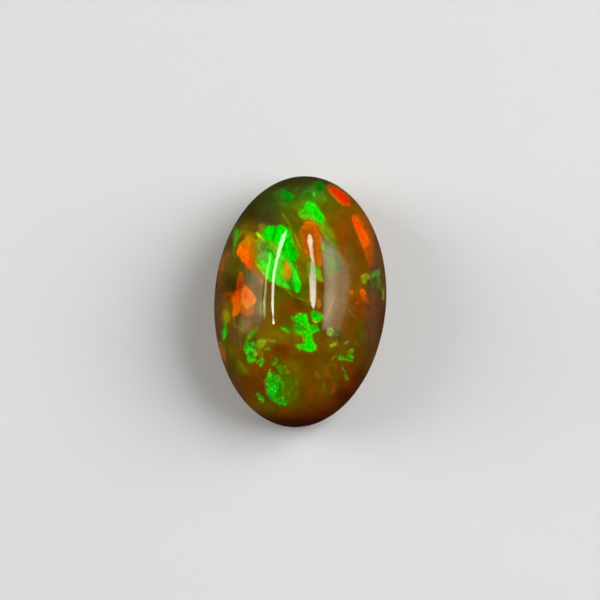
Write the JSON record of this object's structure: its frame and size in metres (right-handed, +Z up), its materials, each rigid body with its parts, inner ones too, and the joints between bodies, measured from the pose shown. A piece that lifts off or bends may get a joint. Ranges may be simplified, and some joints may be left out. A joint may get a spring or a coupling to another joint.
{
  "type": "opal cabochon",
  "caption": "Loose oval opal cabochon: high polished dome, rounded girdle and flat ground base, translucent honey brown with green, orange and red play of colour.",
  "frame": {"origin": "middle of the flat base, on the surface that the stone rests on", "axes": "+Z up through the crown of the dome, +Y along the stone's length towards its slightly broader end, +X across its width"},
  "size_m": [0.008, 0.012, 0.005],
  "materials": {
    "opal": "high polish; translucent honey-brown to olive body with angular green, orange and red play-of-colour patches at depth"
  },
  "bodies": {
    "root": {"opal_cabochon": "opal"}
  },
  "joints": []
}
